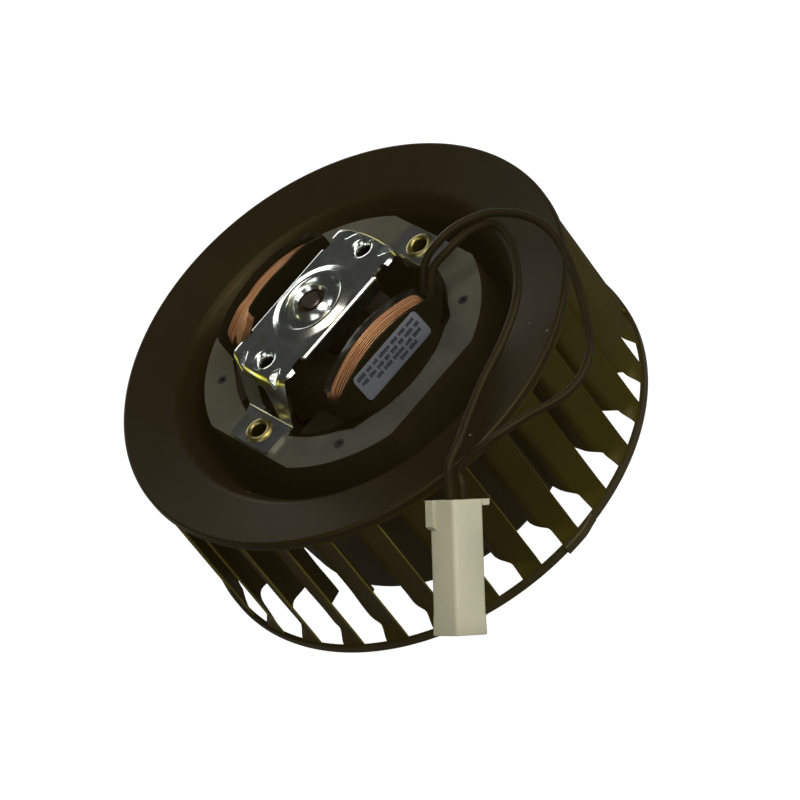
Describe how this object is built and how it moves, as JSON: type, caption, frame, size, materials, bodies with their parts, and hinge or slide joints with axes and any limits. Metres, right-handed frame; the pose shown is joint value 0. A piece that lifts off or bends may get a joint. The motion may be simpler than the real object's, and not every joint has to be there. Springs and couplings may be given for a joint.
{
  "type": "blower motor wheel",
  "caption": "Forward-curved blower wheel with a round shaded-pole motor nested in its dished back disc, stamped bearing bridges, and a two-way plug on a lead.",
  "frame": {"origin": "on the shaft axis, in the plane of the front eyelet lips that a bracket bears on", "axes": "+Z out of the motor side along the shaft, +X through the two eyelets"},
  "size_m": [0.14, 0.1642, 0.0874],
  "materials": {
    "black_paint": "satin black baked paint",
    "blade_paint": "satin black paint with an olive cast",
    "ring_paint": "thin worn black paint",
    "zinc": "bright zinc plate with a yellow passivate tint",
    "lamination": "grey varnished silicon steel",
    "shaft_steel": "ground steel",
    "spring_steel": "tempered spring steel",
    "hub_steel": "turned steel",
    "cage_aluminium": "as cast",
    "eyelet_brass": "rolled brass",
    "bearing_bronze": "oiled sintered bronze",
    "copper": "enamelled copper",
    "black_nylon": "moulded black nylon",
    "film": "thin polyester film",
    "label": "grey foil label",
    "lead_pvc": "black PVC insulation",
    "natural_nylon": "natural translucent nylon",
    "tin": "tinned brass",
    "fibre": "red fibre",
    "felt": "oiled felt"
  },
  "bodies": {
    "motor_frame": {"stator_core": "lamination", "stack_rivets": "lamination", "shading_rings": "copper", "bobbin_near": "black_nylon", "bobbin_far": "black_nylon", "winding_near": "copper", "winding_far": "copper", "insulation_films": "film", "coil_cover_near": "black_nylon", "coil_cover_far": "black_nylon", "rating_label": "label", "front_bridge": "zinc", "rear_bridge": "zinc", "tubular_rivets": "eyelet_brass", "front_bearing": "bearing_bronze", "rear_bearing": "bearing_bronze", "front_bearing_retainer": "spring_steel", "rear_bearing_retainer": "spring_steel", "felt_rings": "felt", "lead_wire_outer": "lead_pvc", "lead_wire_inner": "lead_pvc", "plug_housing": "natural_nylon", "plug_terminals": "tin"},
    "wheel": {"wheel_back_disc": "black_paint", "blade_strip": "blade_paint", "inlet_ring": "ring_paint", "wheel_hub": "hub_steel", "hub_rivets": "hub_steel", "shaft_lock_washer": "zinc", "shaft_nut": "zinc", "motor_shaft": "shaft_steel", "rotor_core": "lamination", "rotor_cage": "cage_aluminium", "spacer_sleeves": "eyelet_brass", "thrust_washers": "fibre"}
  },
  "joints": [
    {"name": "wheel_spin", "type": "hinge", "parent": "motor_frame", "child": "wheel", "pos_m": [0, 0, 0], "axis": [0, 0, 1], "continuous": true}
  ]
}
